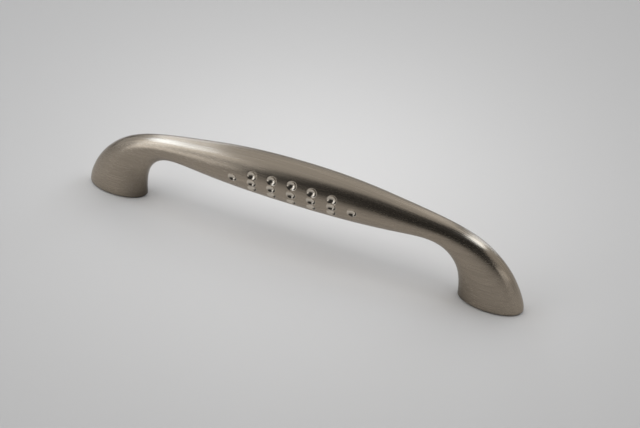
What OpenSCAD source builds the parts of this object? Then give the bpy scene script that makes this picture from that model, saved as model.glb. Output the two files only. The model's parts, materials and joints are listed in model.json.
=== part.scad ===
// Cabinet pull: one die-cast bar on two flared feet, with a field of small round
// dimples pressed into each flank of the grip.
// X runs along the grip, Y across it, Z away from the cabinet face.
// The origin lies on the cabinet face, midway between the two mounting holes.

/* [Mounting] */
// Distance between the two mounting holes
hole_centres = 128; // [110:1:192]
// Radius of the wall of each mounting hole
hole_radius = 2; // [1.6:0.05:2.2]
// Depth of each blind mounting hole
hole_depth = 12; // [8:0.5:14]
// Width of the chamfer at the mouth of each hole
hole_chamfer = 0.5; // [0.3:0.1:0.8]

/* [Grip] */
// Height of the top of the grip above the cabinet face
grip_height = 31.7; // [29:0.1:40]
// Depth of the grip at its middle, square to the cabinet face
grip_depth = 14.8; // [12:0.1:17]
// Width of the grip at its middle
grip_width = 12.4; // [11:0.1:15]
// Distance from the middle over which the grip stays nearly straight
grip_straight = 15.5; // [12:0.5:19]

/* [Taper] */
// Distance from the mounting hole in to the taper section
taper_inset = 31.5; // [28:0.5:34]
// Fall of the top of the bar from the middle to the taper section
taper_drop = 2.7; // [1.5:0.1:4]
// Depth of the bar at the taper section
taper_depth = 10.9; // [9:0.1:13]
// Width of the bar at the taper section
taper_width = 9.9; // [8.5:0.1:12]

/* [Neck] */
// Distance from the mounting hole in to the top of the neck
neck_inset = 15.6; // [13:0.1:18]
// Fall of the top of the bar from the middle to the neck
neck_drop = 5.1; // [4:0.1:6.5]
// Depth of the bar at the neck
neck_depth = 6.9; // [5.5:0.1:8.5]
// Width of the bar at the neck
neck_width = 7.4; // [6.5:0.1:9]
// Distance that the underside of the neck lies nearer the middle than its top
neck_lean = 6.2; // [4.5:0.1:8]

/* [Shoulder] */
// Distance from the mounting hole in to the outside of the shoulder
shoulder_inset = 4.1; // [2.5:0.1:6]
// Height of the outside of the shoulder
shoulder_height = 22.6; // [21:0.1:24.5]
// Distance from the mounting hole in to the throat below the shoulder
throat_inset = 15.7; // [14:0.1:17.5]
// Height of the throat below the shoulder
throat_height = 17.2; // [15.5:0.1:18.5]
// Width of the shoulder
shoulder_width = 7.4; // [6.5:0.1:9]

/* [Leg] */
// Reach of the upper leg outside the mounting hole
leg_reach = 4.1; // [2.5:0.1:6]
// Height of the guide point outside the upper leg
leg_height = 15; // [13.5:0.1:17]
// Distance from the mounting hole in to the inside of the upper leg
leg_inset = 11.9; // [10.5:0.1:13]
// Height of the guide point inside the upper leg
leg_inner_height = 12; // [10.5:0.1:13.5]
// Width of the upper leg
leg_width = 8.2; // [7:0.1:10]

/* [Ankle] */
// Reach of the ankle outside the mounting hole
ankle_reach = 8.4; // [7:0.1:9.5]
// Height of the guide point outside the ankle
ankle_height = 7.6; // [6.5:0.1:9]
// Distance from the mounting hole in to the inside of the ankle
ankle_inset = 10.7; // [9.5:0.1:12]
// Height of the guide point inside the ankle
ankle_inner_height = 6.2; // [5:0.1:7.5]
// Width of the ankle
ankle_width = 9.1; // [8:0.1:11]

/* [Foot] */
// Reach of the foot outside the mounting hole
foot_reach = 10.2; // [9:0.1:12]
// Distance from the mounting hole in to the inside of the foot
foot_inset = 10.5; // [9:0.1:12]
// Width of the foot
foot_width = 9.7; // [8.5:0.1:12]
// Height over which the sides of the foot stand upright
foot_upright = 2.4; // [1.5:0.1:3.5]
// Radius of the rounded edge round the flat face of the foot
foot_edge = 0.7; // [0.3:0.1:1]

/* [Section] */
// Squareness of the section along the grip, where 2 is an ellipse
grip_square = 2; // [1.8:0.05:2.4]
// Squareness of the section at the shoulder and upper leg
leg_square = 2.2; // [1.8:0.05:2.8]
// Squareness of the section at the foot
foot_square = 2; // [1.8:0.05:2.6]

/* [Dimples] */
// Distance from one column of dimples to the next
dimple_pitch = 6.55; // [6:0.05:7.5]
// Columns of three dimples on each flank, between the two single ones
dimple_columns = 5; // [1:2:7]
// Distance between the rows of the middle column
dimple_rows = 3.2; // [3:0.05:3.6]
// Amount by which the rows close up from each column to the next
dimple_close = 0.37; // [0:0.01:0.4]
// Radius of the ball that forms each dimple
dimple_ball = 1.9; // [1.6:0.05:2.2]
// Depth of the dimples of the upper row
upper_dimple_depth = 0.8; // [0.4:0.05:1]
// Depth of the dimples of the middle row, and of the single ones
middle_dimple_depth = 0.7; // [0.4:0.05:1]
// Depth of the dimples of the lower row
lower_dimple_depth = 0.65; // [0.4:0.05:1]

/* [Hidden] */

// Stations along each half of the bar, points round each ring, rings in each foot edge
half_stations = 42;
ring_points = 48;
edge_rings = 3;
// Sides of the cylinders and balls, and how far the cutters reach past a face
round_sides = 64;
cut_past = 1;
// Steps of the search for the station at a given distance along the grip
search_steps = 24;

hole_x = hole_centres / 2;
grip_under = grip_height - grip_depth;

// Guide sections from the middle of the grip to the foot, each as
// [outer x, outer z, inner x, inner z, half width, squareness].
// The first pair share their heights and width, so that both halves join smoothly.
sections = [
    [0, grip_height, 0, grip_under, grip_width / 2, grip_square],
    [grip_straight, grip_height, grip_straight, grip_under, grip_width / 2, grip_square],
    [hole_x - taper_inset, grip_height - taper_drop,
     hole_x - taper_inset, grip_height - taper_drop - taper_depth, taper_width / 2, grip_square],
    [hole_x - neck_inset, grip_height - neck_drop,
     hole_x - neck_inset - neck_lean, grip_height - neck_drop - neck_depth, neck_width / 2, grip_square],
    [hole_x - shoulder_inset, shoulder_height,
     hole_x - throat_inset, throat_height, shoulder_width / 2, leg_square],
    [hole_x + leg_reach, leg_height,
     hole_x - leg_inset, leg_inner_height, leg_width / 2, leg_square],
    [hole_x + ankle_reach, ankle_height,
     hole_x - ankle_inset, ankle_inner_height, ankle_width / 2, foot_square],
    [hole_x + foot_reach, foot_upright,
     hole_x - foot_inset, foot_upright, foot_width / 2, foot_square],
    [hole_x + foot_reach, foot_edge,
     hole_x - foot_inset, foot_edge, foot_width / 2, foot_square]
];

// Clamped cubic spline through the guide sections
degree = 3;
section_count = len(sections);
span_count = section_count - degree;
knots = [for (i = [0 : section_count + degree]) min(max(i - degree, 0), span_count)];

function ramp(t, from, to, down) =
    to == from ? 0 : (down ? to - t : t - from) / (to - from);

function weight(i, d, t) =
    d == 0
        ? (knots[i] <= t && t < knots[i + 1] ? 1 : 0)
        : ramp(t, knots[i], knots[i + d], false) * weight(i, d - 1, t)
          + ramp(t, knots[i + 1], knots[i + d + 1], true) * weight(i + 1, d - 1, t);

// Section at station s, from 0 at the middle of the grip to 1 at the foot
function section_at(s) =
    s >= 1
        ? sections[section_count - 1]
        : [for (i = [0 : section_count - 1]) weight(i, degree, s * span_count)] * sections;

// Power that keeps the sign, for the rounded-square outline
function signed_power(v, p) = sign(v) * pow(abs(v), p);

// Outline of a section, pulled in by an inset and moved to a height when it has one
function ring(sec, inset, drop) =
    let (mid_x = (sec[0] + sec[2]) / 2,
         mid_z = (sec[1] + sec[3]) / 2,
         half_x = (sec[0] - sec[2]) / 2,
         half_z = (sec[1] - sec[3]) / 2,
         half_len = norm([half_x, half_z]),
         shrink = (half_len - inset) / half_len,
         half_w = sec[4] - inset)
    [for (k = [0 : ring_points - 1])
        let (a = 360 * k / ring_points,
             across = signed_power(cos(a), 2 / sec[5]),
             along = signed_power(sin(a), 2 / sec[5]))
        [mid_x + half_x * shrink * along,
         half_w * across,
         mid_z + half_z * shrink * along - drop]];

// Rings of one half, from the middle of the grip down to the flat face of the foot
half_rings = concat(
    [for (j = [0 : half_stations]) ring(section_at(j / half_stations), 0, 0)],
    [for (j = [1 : edge_rings])
        let (a = 90 * j / edge_rings)
        ring(section_at(1), foot_edge * (1 - cos(a)), foot_edge * sin(a))]
);
half_count = len(half_rings);

function mirror_ring(points) = [for (p = points) [-p[0], p[1], p[2]]];

rings = concat(
    [for (j = [half_count - 1 : -1 : 1]) mirror_ring(half_rings[j])],
    half_rings
);

// Solid skinned over a row of rings, with a flat face at each end
module skin(rows) {
    count = len(rows[0]);
    last = len(rows) - 1;
    points = [for (row = rows) for (p = row) p];
    sides = [for (j = [0 : last - 1]) for (k = [0 : count - 1])
        let (k2 = (k + 1) % count,
             a = j * count + k,
             b = j * count + k2,
             c = (j + 1) * count + k2,
             d = (j + 1) * count + k)
        each [[a, c, b], [a, d, c]]];
    start_face = [for (k = [0 : count - 1]) k];
    end_face = [for (k = [count - 1 : -1 : 0]) last * count + k];
    polyhedron(points = points, faces = concat([start_face], sides, [end_face]), convexity = 6);
}

// Station whose section has its middle at distance x along the grip
function station_at(x, low = 0, high = 1, steps = search_steps) =
    steps == 0
        ? (low + high) / 2
        : let (mid = (low + high) / 2,
               sec = section_at(mid))
          (sec[0] + sec[2]) / 2 < x
              ? station_at(x, mid, high, steps - 1)
              : station_at(x, low, mid, steps - 1);

// Centre of the ball for a dimple at distance x along the grip and a rise above mid depth
function ball_centre(x, rise, depth) =
    let (sec = section_at(station_at(abs(x))),
         mid_z = (sec[1] + sec[3]) / 2,
         half_z = (sec[1] - sec[3]) / 2,
         a = asin(rise / half_z),
         normal = [cos(a) / sec[4], sin(a) / half_z],
         unit = normal / norm(normal),
         proud = dimple_ball - depth)
    [x, sec[4] * cos(a) + unit[0] * proud, mid_z + rise + unit[1] * proud];

side_columns = (dimple_columns - 1) / 2;

// Rows of dimples from the lowest up, each as [rows above mid depth, depth of its dimples]
dimple_bands = [[-1, lower_dimple_depth], [0, middle_dimple_depth], [1, upper_dimple_depth]];

// Balls for one flank: rows of three that close up away from the middle, then a single one
module flank_balls() {
    for (column = [-side_columns : side_columns])
        for (band = dimple_bands)
            let (rise = band[0] * (dimple_rows - abs(column) * dimple_close))
            translate(ball_centre(column * dimple_pitch, rise, band[1]))
                sphere(r = dimple_ball, $fn = round_sides);
    for (end = [-1, 1])
        translate(ball_centre(end * (side_columns + 1) * dimple_pitch, 0, middle_dimple_depth))
            sphere(r = dimple_ball, $fn = round_sides);
}

// Blind mounting hole with a chamfered mouth
module mounting_hole() {
    translate([0, 0, -cut_past])
        cylinder(h = hole_depth + cut_past, r = hole_radius, $fn = round_sides);
    translate([0, 0, -cut_past])
        cylinder(h = hole_chamfer + cut_past, r1 = hole_radius + hole_chamfer + cut_past,
                 r2 = hole_radius, $fn = round_sides);
}

module pull_body() {
    color([0.56, 0.53, 0.48])
        difference() {
            skin(rings);
            flank_balls();
            mirror([0, 1, 0]) flank_balls();
            for (end = [-1, 1])
                translate([end * hole_x, 0, 0]) mounting_hole();
        }
}

pull_body();
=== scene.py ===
import bpy
import bmesh
import json
import math
from mathutils import Matrix, Vector

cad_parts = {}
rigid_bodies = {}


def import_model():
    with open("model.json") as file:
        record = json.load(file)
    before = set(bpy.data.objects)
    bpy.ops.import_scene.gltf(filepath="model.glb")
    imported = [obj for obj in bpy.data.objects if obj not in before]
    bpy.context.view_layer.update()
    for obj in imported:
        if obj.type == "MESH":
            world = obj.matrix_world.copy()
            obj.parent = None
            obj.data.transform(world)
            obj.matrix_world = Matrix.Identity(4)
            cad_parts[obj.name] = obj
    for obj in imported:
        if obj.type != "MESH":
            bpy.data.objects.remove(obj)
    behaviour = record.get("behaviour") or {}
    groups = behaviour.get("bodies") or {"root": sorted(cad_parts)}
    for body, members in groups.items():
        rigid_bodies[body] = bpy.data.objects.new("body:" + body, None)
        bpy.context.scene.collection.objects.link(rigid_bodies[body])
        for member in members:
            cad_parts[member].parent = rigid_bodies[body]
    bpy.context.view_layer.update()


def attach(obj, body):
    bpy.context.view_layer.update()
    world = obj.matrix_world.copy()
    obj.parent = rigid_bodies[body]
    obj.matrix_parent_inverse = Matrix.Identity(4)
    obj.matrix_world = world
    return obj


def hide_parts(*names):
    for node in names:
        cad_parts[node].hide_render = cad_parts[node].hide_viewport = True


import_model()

mm = 0.001                      # the body and the camera are measured in mm
nudge = 1e-4                    # small step that slopes of the skin are measured over
tiny = 1e-6                     # keeps a division away from zero
almostOne = 1 - 1e-9            # the foot's end, still inside the spline's last span
noiseRange = (0.3, 0.7)         # where most values of a noise texture lie

# guide sections from the middle of the grip to the foot, in mm, as the solid has them:
# outer x, outer z, inner x, inner z, half width, squareness (2 is an ellipse)
bodyForm = {
    "middle": (0.0, 31.7, 0.0, 16.9, 6.2, 2.0),
    "grip": (15.5, 31.7, 15.5, 16.9, 6.2, 2.0),
    "taper": (32.5, 29.0, 32.5, 18.1, 4.95, 2.0),
    "neck": (48.4, 26.6, 42.2, 19.7, 3.7, 2.0),
    "shoulder": (59.9, 22.6, 48.3, 17.2, 3.7, 2.2),
    "leg": (68.1, 15.0, 52.1, 12.0, 4.1, 2.2),
    "ankle": (72.4, 7.6, 53.3, 6.2, 4.55, 2.0),
    "foot": (74.2, 2.4, 53.5, 2.4, 4.85, 2.0),
    "sole": (74.2, 0.7, 53.5, 0.7, 4.85, 2.0),
    "footEdge": 0.7,            # radius of the rounded edge round each foot face
    "edgeRings": 5,
    "fineStep": 0.15,           # spacing of the mesh over the dimples
    "coarseStep": 0.9,          # and over the rest of the bar
    "fineReach": 21.8,          # how far from the middle the fine mesh goes
    "easeOver": 6.0,            # length over which it turns coarse
    "probe": 0.002,             # share of the run over which its pace in mm is measured
    "lastGap": 0.004,           # a last step shorter than this share is left out
    "ringPoints": 184,
    "flankGather": 0.42,        # how much the mesh lines gather on the flanks
    "flankLean": (0.45, 0.80),  # sideways lean over which the grain turns to run along X
}

dimples = {
    "pitch": 6.55,              # from column to column
    "columns": 5,               # of three each, with a single dimple beyond both ends
    "rows": 3.2,                # from row to row in the middle column
    "close": 0.37,              # how much closer the rows are with each column outwards
    "ball": 1.9,                # radius of the ball that cuts a dimple
    "depths": (0.65, 0.7, 0.8),     # lower, middle (and single) and upper row
    "gather": 0.4,              # mesh points this near a rim move closer to it
    "crowd": 0.45,              # right at the rim, to this share of their distance
    "lip": 0.15,                # depth over which the rim is rounded off
    "shadeSide": (-0.1, 0.45),   # painted shade: the dark line inside the rim sets in over these shares of the ball, towards +X
    "shadeStart": (0.0, 0.08),   # and over these depths
    "shadeEnd": (0.33, 0.5),     # and fades out over these
}

mountingHoles = {
    "centres": 128.0, "radius": 2.0, "depth": 12.0, "chamfer": 0.5,
    "segments": 40, "threadPitch": 0.7, "threadDepth": 0.36, "stepsPerTurn": 5,
    "material": 1,              # the body's second material: plated, not brushed
}


def smoothStep(x, low, high):
    t = min(max((x - low) / (high - low), 0.0), 1.0)
    return t * t * (3 - 2 * t)


def bodySections(form):
    names = ("middle", "grip", "taper", "neck", "shoulder", "leg", "ankle", "foot", "sole")
    return [form[n] for n in names]


def splineWeights(s, count, degree=3):
    # clamped cubic weights of the guide sections at station s, 0 to 1
    spans = count - degree
    knots = [min(max(i - degree, 0), spans) for i in range(count + degree + 1)]
    t = min(s, almostOne) * spans
    w = [1.0 if knots[i] <= t < knots[i + 1] else 0.0 for i in range(len(knots) - 1)]
    for d in range(1, degree + 1):
        for i in range(len(w) - d):
            left = knots[i + d] - knots[i]
            right = knots[i + d + 1] - knots[i + 1]
            a = (t - knots[i]) / left * w[i] if left else 0.0
            b = (knots[i + d + 1] - t) / right * w[i + 1] if right else 0.0
            w[i] = a + b
    return w[:count]


def sectionAt(sections, s):
    w = splineWeights(s, len(sections))
    return [sum(wi * sec[c] for wi, sec in zip(w, sections)) for c in range(len(sections[0]))]


def stationAt(sections, x):
    # the station whose section stands this far from the middle, by halving
    low, high = 0.0, 1.0
    for halving in range(30):
        mid = (low + high) / 2
        sec = sectionAt(sections, mid)
        if (sec[0] + sec[2]) / 2 < x:
            low = mid
        else:
            high = mid
    return (low + high) / 2


def signedPower(v, p):
    return math.copysign(abs(v) ** p, v)


def sectionPoint(sec, angle, side, inset=0.0, drop=0.0):
    # a point of the section's outline, on the half given by side, in mm
    halfX, halfZ = (sec[0] - sec[2]) / 2, (sec[1] - sec[3]) / 2
    halfLen = math.hypot(halfX, halfZ)
    shrink = (halfLen - inset) / halfLen
    across = signedPower(math.cos(angle), 2 / sec[5])
    along = signedPower(math.sin(angle), 2 / sec[5])
    x = (sec[0] + sec[2]) / 2 + halfX * shrink * along
    z = (sec[1] + sec[3]) / 2 + halfZ * shrink * along - drop
    return Vector((side * x, (sec[4] - inset) * across, z))


def stationList(form, sections):
    # stations from the middle of the grip to the foot, close together over the dimples
    stations, s = [0.0], 0.0
    while s < 1.0:
        a, b = sectionAt(sections, s), sectionAt(sections, min(s + form["probe"], 1.0))
        outer = math.hypot(b[0] - a[0], b[1] - a[1])
        inner = math.hypot(b[2] - a[2], b[3] - a[3])
        pace = max(outer, inner) / form["probe"]
        mid = (a[0] + a[2]) / 2
        ease = min(max((mid - form["fineReach"]) / form["easeOver"], 0), 1)
        step = form["fineStep"] + (form["coarseStep"] - form["fineStep"]) * ease
        s += step / max(pace, tiny)
        if s < 1.0:
            stations.append(s)
    if 1.0 - stations[-1] < form["lastGap"]:
        stations.pop()
    return stations + [1.0]


def ballCentres(sections, d):
    # centre of every dimple's ball on both flanks, in mm
    balls = []
    side = (d["columns"] - 1) // 2
    spots = [(c * d["pitch"], r * (d["rows"] - abs(c) * d["close"]), d["depths"][r + 1])
             for c in range(-side, side + 1) for r in (-1, 0, 1)]
    spots += [(e * (side + 1) * d["pitch"], 0.0, d["depths"][1]) for e in (-1, 1)]
    for x, rise, depth in spots:
        sec = sectionAt(sections, stationAt(sections, abs(x)))
        halfZ = (sec[1] - sec[3]) / 2
        midZ = (sec[1] + sec[3]) / 2
        a = math.asin(rise / halfZ)
        normal = Vector((0, math.cos(a) / sec[4], math.sin(a) / halfZ)).normalized()
        surface = Vector((x, sec[4] * math.cos(a), midZ + rise))
        centre = surface + normal * (d["ball"] - depth)
        balls += [centre, centre * Vector((1, -1, 1))]
    return balls


def skinAt(sections, side, s, a):
    # point of the skin with its slopes by angle and by station
    sec = sectionAt(sections, s)
    p = sectionPoint(sec, a, side)
    byAngle = (sectionPoint(sec, a + nudge, side) - p) / nudge
    byStation = (sectionPoint(sectionAt(sections, s + nudge), a, side) - p) / nudge
    return p, byAngle, byStation


def slideTo(sections, place, centre, radius):
    # slides a point along the skin until it is this far from the centre
    side, s, a = place
    for correction in range(2):
        p, byAngle, byStation = skinAt(sections, side, s, a)
        out = p - centre
        miss = out.length - radius
        out.normalize()
        gAngle, gStation = out.dot(byAngle), out.dot(byStation)
        lenA, lenS = byAngle.length_squared, byStation.length_squared
        slope = gAngle * gAngle / lenA + gStation * gStation / lenS
        a -= miss * gAngle / lenA / slope
        s = max(s - miss * gStation / lenS / slope, 0.0)
    return side, s, a


def pressDimples(polish, rimShade, places, sections, balls, d):
    # sinks the skin onto the balls, with the mesh gathered at the rims and the rims rounded off,
    # and marks a painted shade line inside each rim
    reach = d["ball"] + d["gather"]
    grid = {}                   # the balls near each millimetre of X, flank by flank
    for c in balls:
        for i in range(math.floor(c.x - reach), math.ceil(c.x + reach) + 1):
            grid.setdefault((i, c.y > 0), []).append(c)
    count = 0
    for v, place in places.items():
        close = grid.get((math.floor(v.co.x), v.co.y > 0))
        if not close:
            continue
        gap, n = min(((v.co - c).length - d["ball"], n) for n, c in enumerate(close))
        if gap > d["gather"]:
            continue
        if abs(gap) < d["gather"]:
            gap *= d["crowd"] + (1 - d["crowd"]) * smoothStep(abs(gap), 0, d["gather"])
            place = slideTo(sections, place, close[n], d["ball"] + gap)
        p, byAngle, byStation = skinAt(sections, *place)
        inward = byAngle.cross(byStation).normalized()
        if inward.y * p.y > 0:
            inward.negate()
        push, deepest = 0.0, -1.0
        for c in close:
            off = p - c
            ahead = -off.dot(inward)
            inside = ahead * ahead - off.length_squared + d["ball"] ** 2
            if inside > 0:
                depth = ahead + math.sqrt(inside)
                rounding = max(d["lip"] - abs(depth - push), 0) ** 2 / (4 * d["lip"])
                push = max(push, depth) + rounding
                deepest = max(deepest, depth)
        v.co = p + inward * push
        v[polish] = smoothStep(deepest, -d["lip"], 0)
        # painted shade: a dark line just inside the rim, on the +X side of each dimple
        turned = smoothStep((p.x - close[n].x) / d["ball"], *d["shadeSide"])
        faded = 1 - smoothStep(deepest, *d["shadeEnd"])
        v[rimShade] = turned * smoothStep(deepest, *d["shadeStart"]) * faded
        count += 1
    print("dimples:", count, "points of the skin set")


def ringedTube(points, rings):
    # a closed tube from z -1 to 1, cut into this many rings of points
    bm = bmesh.new()
    bmesh.ops.create_cone(bm, cap_ends=True, cap_tris=False, segments=points,
                          radius1=1, radius2=1, depth=2)
    lengthwise = [e for e in bm.edges if abs(e.verts[0].co.z - e.verts[1].co.z) > 1]
    bmesh.ops.subdivide_edges(bm, edges=lengthwise, cuts=rings - 2, use_grid_fill=True)
    return bm


def ringNumber(v, rings):
    return round((v.co.z + 1) / 2 * (rings - 1))


def tappedHole(h):
    # a threaded blind hole standing on the origin, open below
    top, pitch, chamfer = h["depth"], h["threadPitch"], h["chamfer"]
    rise = pitch / h["stepsPerTurn"]
    steps = int((top - chamfer) / rise)
    heights = [0.0] + [chamfer + rise * i for i in range(steps)] + [top]
    bm = ringedTube(h["segments"], len(heights))
    ringOf = {}
    for v in bm.verts:
        n = ringOf[v] = ringNumber(v, len(heights))
        z, turn = heights[n], math.atan2(v.co.y, v.co.x)
        wave = 0.5 - 0.5 * math.cos(math.tau * z / pitch - turn)
        runOut = smoothStep(z, chamfer, chamfer + pitch)
        runOut *= 1 - smoothStep(z, top - 2 * pitch, top - pitch)
        r = h["radius"] - h["threadDepth"] * wave * runOut
        if n == 0:
            r += chamfer
        v.co = Vector((r * math.cos(turn), r * math.sin(turn), z))
    for e in bm.edges:          # sharp round the mouth, where the chamfer ends and at the bottom
        a, b = (ringOf[v] for v in e.verts)
        e.smooth = a != b or a not in (0, 1, len(heights) - 1)
    ends = [f for f in bm.faces if len(f.verts) > 4]
    for f in bm.faces:
        f.smooth = len(f.verts) == 4
        f.material_index = h["material"]
    opening = min(ends, key=lambda f: f.calc_center_median().z)
    bmesh.ops.delete(bm, geom=[opening], context="FACES_ONLY")
    mesh = bpy.data.meshes.new("tappedHole")
    bm.to_mesh(mesh)
    bm.free()
    return mesh


def seatHole(bm, cap, hole, h):
    # sets the hole into the flat face of a foot and closes the face round its mouth
    x = math.copysign(h["centres"] / 2, cap.calc_center_median().x)
    before = len(bm.verts)
    bmesh.ops.delete(bm, geom=[cap], context="FACES_ONLY")
    bm.from_mesh(hole)
    bm.verts.ensure_lookup_table()
    bmesh.ops.translate(bm, vec=(x, 0, 0), verts=bm.verts[before:])
    mouths = [e for e in bm.edges if e.is_boundary]
    for f in bmesh.ops.bridge_loops(bm, edges=mouths)["faces"]:
        f.smooth = False
        f.material_index = h["material"]


def outerRun(rows, secs):
    # length along the outer face from the middle to each row, for the grain
    run, total = {}, 0.0
    last = sectionPoint(secs[0.0], math.pi / 2, 1)
    for row in rows:
        s, inset, drop = row
        p = sectionPoint(secs[s], math.pi / 2, 1, inset, drop)
        total += (p - last).length
        run[row], last = total, p
    return run


def buildBody(form, d, h):
    sections = bodySections(form)
    rows = [(s, 0.0, 0.0) for s in stationList(form, sections)]     # station, inset, drop
    for j in range(1, form["edgeRings"] + 1):
        a = math.pi / 2 * j / form["edgeRings"]
        rows.append((1.0, form["footEdge"] * (1 - math.cos(a)), form["footEdge"] * math.sin(a)))
    order = [(-1, r) for r in reversed(rows[1:])] + [(1, r) for r in rows]
    secs = {s: sectionAt(sections, s) for s, inset, drop in rows}
    run = outerRun(rows, secs)
    bm = ringedTube(form["ringPoints"], len(order))
    caps = [f for f in bm.faces if len(f.verts) > 4]
    polish = bm.verts.layers.float.new("polish")
    rimShade = bm.verts.layers.float.new("rimShade")
    flank = bm.verts.layers.float.new("flank")
    grain = bm.verts.layers.float_vector.new("grain")
    profile = bm.loops.layers.uv.new("profile")
    places, along = {}, {}
    for v in bm.verts:
        side, row = order[ringNumber(v, len(order))]
        s, inset, drop = row
        a = math.atan2(v.co.y, v.co.x)
        a -= form["flankGather"] / 2 * math.sin(2 * a)   # closer lines on both flanks
        v.co = sectionPoint(secs[s], a, side, inset, drop)
        along[v] = side * run[row]
        places[v] = (side, s, a)
    bmesh.ops.recalc_face_normals(bm, faces=bm.faces)
    bm.normal_update()
    for v in bm.verts:          # which way the brushing runs, all over the skin
        v[flank] = smoothStep(abs(v.normal.y), *form["flankLean"])
        straight = Vector((1, 0, 0)) - v.normal * v.normal.x
        curved = Vector((0, 1, 0)).cross(v.normal)
        v[grain] = (curved * (1 - v[flank]) + straight * v[flank]).normalized()
    for f in bm.faces:
        f.smooth = True
        for loop in f.loops:
            loop[profile].uv = (along[loop.vert] * mm, loop.vert.co.y * mm)
    pressDimples(polish, rimShade, places, sections, ballCentres(sections, d), d)
    hole = tappedHole(h)
    for cap in caps:
        seatHole(bm, cap, hole, h)
    bpy.data.meshes.remove(hole)
    bmesh.ops.scale(bm, vec=(mm, mm, mm), verts=bm.verts)
    bmesh.ops.recalc_face_normals(bm, faces=bm.faces)
    mesh = bpy.data.meshes.new("pullBodySkin")
    bm.to_mesh(mesh)
    print("body:", sum(len(f.verts) - 2 for f in bm.faces), "triangles")
    bm.free()
    return addObject("pullBodySkin", mesh)


def addObject(name, data):
    thing = bpy.data.objects.new(name, data)
    bpy.context.scene.collection.objects.link(thing)
    return thing


def directionTo(azimuth, elevation):
    # azimuth 0 is towards the viewer and 90 to the right, in radians here
    return Vector((math.sin(azimuth) * math.cos(elevation),
                   -math.cos(azimuth) * math.cos(elevation), math.sin(elevation)))


nickel = {
    "satin": (0.354, 0.302, 0.241), "polished": (0.60, 0.54, 0.46, 1),
    "rough": 0.26, "polishRough": 0.15,
    "anisotropic": 0.7, "turn": 0.25,       # light spreads across the brushed lines
    "lineAcross": 5200, "lineAlong": 40,    # brushed lines per metre, across and along the grain
    "bandAcross": 1300, "bandAlong": 11,
    "lineDetail": 3.0, "bandDetail": 2.0,
    "lineTone": 0.06, "bandTone": 0.06, "lineRough": 0.02, "lineHeight": 0.0003 * mm,
    "rimShadeTone": 0.05,            # painted shade: the fine dark line inside each dimple's rim, on its +X side
    "footEdgeShade": 0.45,           # painted shade: the foot's rounded edge darkened next to the floor
    "footShadeHeights": (0.1 * mm, 1.0 * mm),        # where it is darkest, and where it ends
    "innerShade": (0.40, 0.56),  # painted shade: the low inner end of the left and of the right foot darkened
    "innerShadeLengths": (53.5 * mm, 62.0 * mm),     # from the pull's middle, where it fades out
    "innerShadeHeights": (2.0 * mm, 15.0 * mm),
    "innerShadeSides": (-10.0 * mm, 10.0 * mm),       # left of the first, right of the second
}


def setInputs(tree, node, inputs):
    # each input gets its value, or a link where a socket is given
    for key, value in inputs.items():
        if isinstance(value, bpy.types.NodeSocket):
            tree.links.new(value, node.inputs[key])
        else:
            node.inputs[key].default_value = value


def addNode(tree, kind, inputs, **settings):
    node = tree.nodes.new("ShaderNode" + kind)
    for key, value in settings.items():
        setattr(node, key, value)
    setInputs(tree, node, inputs)
    return node


def newMaterial(name):
    mat = bpy.data.materials.new(name)
    mat.use_nodes = True
    return mat, mat.node_tree, mat.node_tree.nodes["Principled BSDF"]


def attribute(tree, name, output="Fac"):
    return addNode(tree, "Attribute", {}, attribute_name=name).outputs[output]


def objectPlace(tree):
    return addNode(tree, "TexCoord", {}).outputs["Object"]


def maths(tree, operation, *terms):
    return addNode(tree, "Math", dict(enumerate(terms)), operation=operation).outputs[0]


def scaled(tree, color, factor):
    node = addNode(tree, "VectorMath", {0: color, "Scale": factor}, operation="SCALE")
    return node.outputs["Vector"]


def remap(tree, value, old, new, **settings):
    # a value moved from its old range to a new one
    node = addNode(tree, "MapRange", {"Value": value, "From Min": old[0], "From Max": old[1],
                                      "To Min": new[0], "To Max": new[1]}, **settings)
    return node.outputs["Result"]


def mix(tree, factor, first, second, kind="FLOAT"):
    a, b, out = {"FLOAT": (2, 3, 0), "RGBA": (6, 7, 2)}[kind]
    return addNode(tree, "Mix", {0: factor, a: first, b: second}, data_type=kind).outputs[out]


def around(middle, spread):
    return middle - spread, middle + spread


def grainNoise(tree, coords, flank, along, across, detail):
    # one noise drawn out along the profile, and along X on the flanks
    noises = []
    for source in coords:
        drawn = addNode(tree, "Mapping", {"Vector": source, "Scale": (along, across, across)})
        noise = addNode(tree, "TexNoise", {"Vector": drawn.outputs["Vector"], "Scale": 1.0,
                                           "Detail": detail})
        noises.append(noise.outputs["Fac"])
    return mix(tree, flank, *noises)


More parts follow.
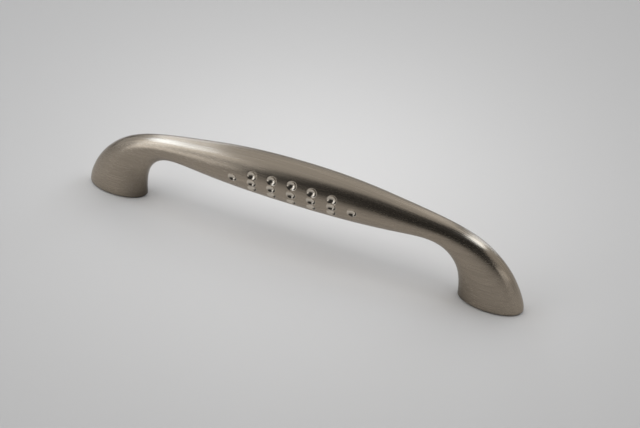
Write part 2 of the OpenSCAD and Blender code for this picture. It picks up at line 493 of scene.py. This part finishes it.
def nickelMaterial(n):
    mat, tree, shader = newMaterial("satinNickel")
    mask = attribute(tree, "polish")
    flank = attribute(tree, "flank")
    flat = objectPlace(tree)
    skin = addNode(tree, "UVMap", {}, uv_map="profile").outputs["UV"]
    lines, bands = (grainNoise(tree, (skin, flat), flank, n[kind + "Along"], n[kind + "Across"],
                               n[kind + "Detail"]) for kind in ("line", "band"))
    tone = 1.0
    for noise, amount in ((lines, n["lineTone"]), (bands, n["bandTone"])):
        shade = remap(tree, noise, noiseRange, around(1, amount), clamp=False)
        tone = maths(tree, "MULTIPLY", tone, shade)
    spot = addNode(tree, "SeparateXYZ", {"Vector": flat}).outputs
    # painted shade: darker towards the foot's lower edge, where it meets the floor
    edgeShade = remap(tree, spot["Z"], n["footShadeHeights"], (n["footEdgeShade"], 1.0),
                 interpolation_type="SMOOTHSTEP")
    # painted shade: the low inner end of each foot darkened, more on the left foot than the
    # right
    inward = remap(tree, maths(tree, "ABSOLUTE", spot["X"]), n["innerShadeLengths"], (1.0, 0.0),
                   interpolation_type="SMOOTHSTEP")
    low = remap(tree, spot["Z"], n["innerShadeHeights"], (inward, 0.0))
    side = remap(tree, spot["X"], n["innerShadeSides"], n["innerShade"])
    inner = remap(tree, low, (0.0, 1.0), (1.0, side))
    for shade in (edgeShade, inner):
        tone = maths(tree, "MULTIPLY", tone, shade)
    satin = scaled(tree, n["satin"], tone)
    color = mix(tree, mask, satin, n["polished"], kind="RGBA")
    # painted shade: the base colour darkened along the line inside each dimple's rim
    rimShadeFactor = remap(tree, attribute(tree, "rimShade"), (0.0, 1.0), (1.0, n["rimShadeTone"]))
    satinRough = remap(tree, lines, noiseRange, around(n["rough"], n["lineRough"]))
    height = maths(tree, "MULTIPLY", lines, maths(tree, "SUBTRACT", 1.0, mask))
    bump = addNode(tree, "Bump", {"Height": height, "Distance": n["lineHeight"],
                                  "Strength": 1.0})
    setInputs(tree, shader, {
        "Base Color": scaled(tree, color, rimShadeFactor),
        "Metallic": 1.0,
        "Roughness": mix(tree, mask, satinRough, n["polishRough"]),
        "Normal": bump.outputs["Normal"],
        "Anisotropic": n["anisotropic"],
        "Anisotropic Rotation": n["turn"],
        "Tangent": attribute(tree, "grain", "Vector"),
    })
    return mat


castMetal = {"color": (0.42, 0.40, 0.37), "tone": 0.08, "rough": 0.45, "roughSpread": 0.1,
             "grit": 900, "detail": 4.0}


def castMaterial(c):
    # the flat foot face and the tapped hole, plated but not brushed
    mat, tree, shader = newMaterial("platedCasting")
    grit = addNode(tree, "TexNoise", {"Vector": objectPlace(tree), "Scale": c["grit"],
                                      "Detail": c["detail"]}).outputs["Fac"]
    tone = remap(tree, grit, noiseRange, around(1, c["tone"]))
    setInputs(tree, shader, {
        "Base Color": scaled(tree, c["color"], tone),
        "Metallic": 1.0,
        "Roughness": remap(tree, grit, (0.0, 1.0), around(c["rough"], c["roughSpread"])),
    })
    return mat


# painted pool of light: the sheet is palest near the object and darkens outwards, over about the
# spread in metres
sheet = {"near": 0.72, "far": 0.35, "spread": 0.1, "poolCentre": (-0.004, 0.023, 0),
         "tint": (1.045, 1.0, 0.95), "rough": 0.7, "reach": 2.0, "cells": 8}


def makeFloor(f):
    bm = bmesh.new()
    bmesh.ops.create_grid(bm, x_segments=f["cells"], y_segments=f["cells"], size=f["reach"])
    mesh = bpy.data.meshes.new("floor")
    bm.to_mesh(mesh)
    bm.free()
    floor = addObject("floor", mesh)
    mat, tree, shader = newMaterial("paleFloor")
    # painted pool of light: the floor's colour is brightest round the object and falls off
    # outwards
    away = addNode(tree, "VectorMath", {0: objectPlace(tree), 1: f["poolCentre"]},
                   operation="SUBTRACT").outputs["Vector"]
    squared = addNode(tree, "VectorMath", {0: away, 1: away}, operation="DOT_PRODUCT")
    fall = maths(tree, "MULTIPLY_ADD", squared.outputs["Value"], 1 / f["spread"] ** 2, 1.0)
    paintedLightPool = maths(tree, "DIVIDE", f["near"] - f["far"], fall)
    tone = maths(tree, "ADD", paintedLightPool, f["far"])
    setInputs(tree, shader, {"Base Color": scaled(tree, f["tint"], tone),
                             "Roughness": f["rough"]})
    mesh.materials.append(mat)


camera = {
    "aim": (6.42, 2.53, 12.07),     # in mm, like the distance; the angles are in degrees
    "distance": 390.3, "azimuth": 20.95, "elevation": 41.87, "roll": 2.64,
    "focalPixels": 1257.7, "frameWidth": 640, "sensor": 36.0,
    "clip": (0.01, 20.0),           # in metres
}


def makeCamera(c):
    a, e, r = (math.radians(c[k]) for k in ("azimuth", "elevation", "roll"))
    back = directionTo(a, e)
    level = Vector((math.cos(a), math.sin(a), 0))
    upright = back.cross(level)
    right = math.cos(r) * level + math.sin(r) * upright
    up = -math.sin(r) * level + math.cos(r) * upright
    data = bpy.data.cameras.new("photoCamera")
    data.sensor_width = c["sensor"]
    data.lens = c["focalPixels"] / c["frameWidth"] * c["sensor"]
    data.clip_start, data.clip_end = c["clip"]
    cam = addObject("photoCamera", data)
    turn = Matrix((right, up, back)).transposed().to_4x4()
    place = Vector(c["aim"]) * mm + back * c["distance"] * mm
    cam.matrix_world = Matrix.Translation(place) @ turn
    bpy.context.scene.camera = cam


# soft panels round the object: azimuth (0 towards the viewer, 90 to the right), elevation,
# angular width and height, lean (all in degrees), brightness and coolness
studio = {
    "rightKey": (114, 49, 32, 18, -31, 3.2, 0.1),
    "rightStrip": (149, 26, 14, 36, 28, 1.7, 0.1),
    "leftKey": (268, 45.5, 33, 11, 5, 3.2, 0.2),
    "leftFront": (303, 28, 15, 32, 32, 1.2, 0.06),
    "leftBack": (218, 17, 10, 58, -30, 1.3, 0.1),
    "overhead": (247, 70, 96, 56, -18, 0.65, 0.0),
    "rightBack": (165, 34, 20, 44, 15, 0.5, 0.02),
    "backWall": (202, 24, 58, 39, 8, 0.6, 0.0),
    "rightWall": (108, 20, 72, 52, 9, 0.5, -0.02),
    "leftWall": (282, 28, 88, 52, -5, 0.62, 0.02),
    "rightLow": (63, 7, 29, 10, 12, 1.35, 0.0),
    "frontLow": (320, 6, 26, 16, 10, 1.3, 0.02),
    "rearLow": (160, 3.5, 24, 10, 0, 2.2, 0.12),
    "ceiling": (0, 84, 50, 26, 0, 1.6, 0.0),
}
room = {
    "light": 0.04,
    "middle": (0, 0, 0.02),         # what the panels stand round, in metres
    "distance": 1.0,                # and how far from it
    "blueShare": 1.3,               # a cool panel gains this much more blue than it loses red
    "sheetOnly": "ceiling",         # not mirrored in the metal: its shadow lies under the bar
}


def makeLights(panels, r):
    world = bpy.data.worlds.new("room")
    world.use_nodes = True
    setInputs(world.node_tree, world.node_tree.nodes["Background"],
              {"Color": (1, 1, 1, 1), "Strength": r["light"]})
    bpy.context.scene.world = world
    for name, (azimuth, elevation, width, height, lean, brightness, cool) in panels.items():
        out = directionTo(math.radians(azimuth), math.radians(elevation))
        data = bpy.data.lights.new(name, "AREA")
        data.shape = "RECTANGLE"
        data.size = 2 * r["distance"] * math.tan(math.radians(width / 2))
        data.size_y = 2 * r["distance"] * math.tan(math.radians(height / 2))
        data.energy = brightness * math.pi * data.size * data.size_y
        data.color = (1 - cool, 1, 1 + r["blueShare"] * cool)
        light = addObject(name, data)
        light.visible_camera = False
        light.visible_glossy = name != r["sheetOnly"]
        place = Matrix.Translation(out * r["distance"] + Vector(r["middle"]))
        turn = out.to_track_quat("Z", "Y").to_matrix().to_4x4()
        light.matrix_world = place @ turn @ Matrix.Rotation(math.radians(lean), 4, "Z")


print("body")
body = buildBody(bodyForm, dimples, mountingHoles)
print("finish")
body.data.materials.append(nickelMaterial(nickel))
body.data.materials.append(castMaterial(castMetal))
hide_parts("pull_body")
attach(body, "root")
print("floor")
makeFloor(sheet)
print("camera")
makeCamera(camera)
print("lights")
makeLights(studio, room)
bpy.context.scene.view_settings.view_transform = "Standard"
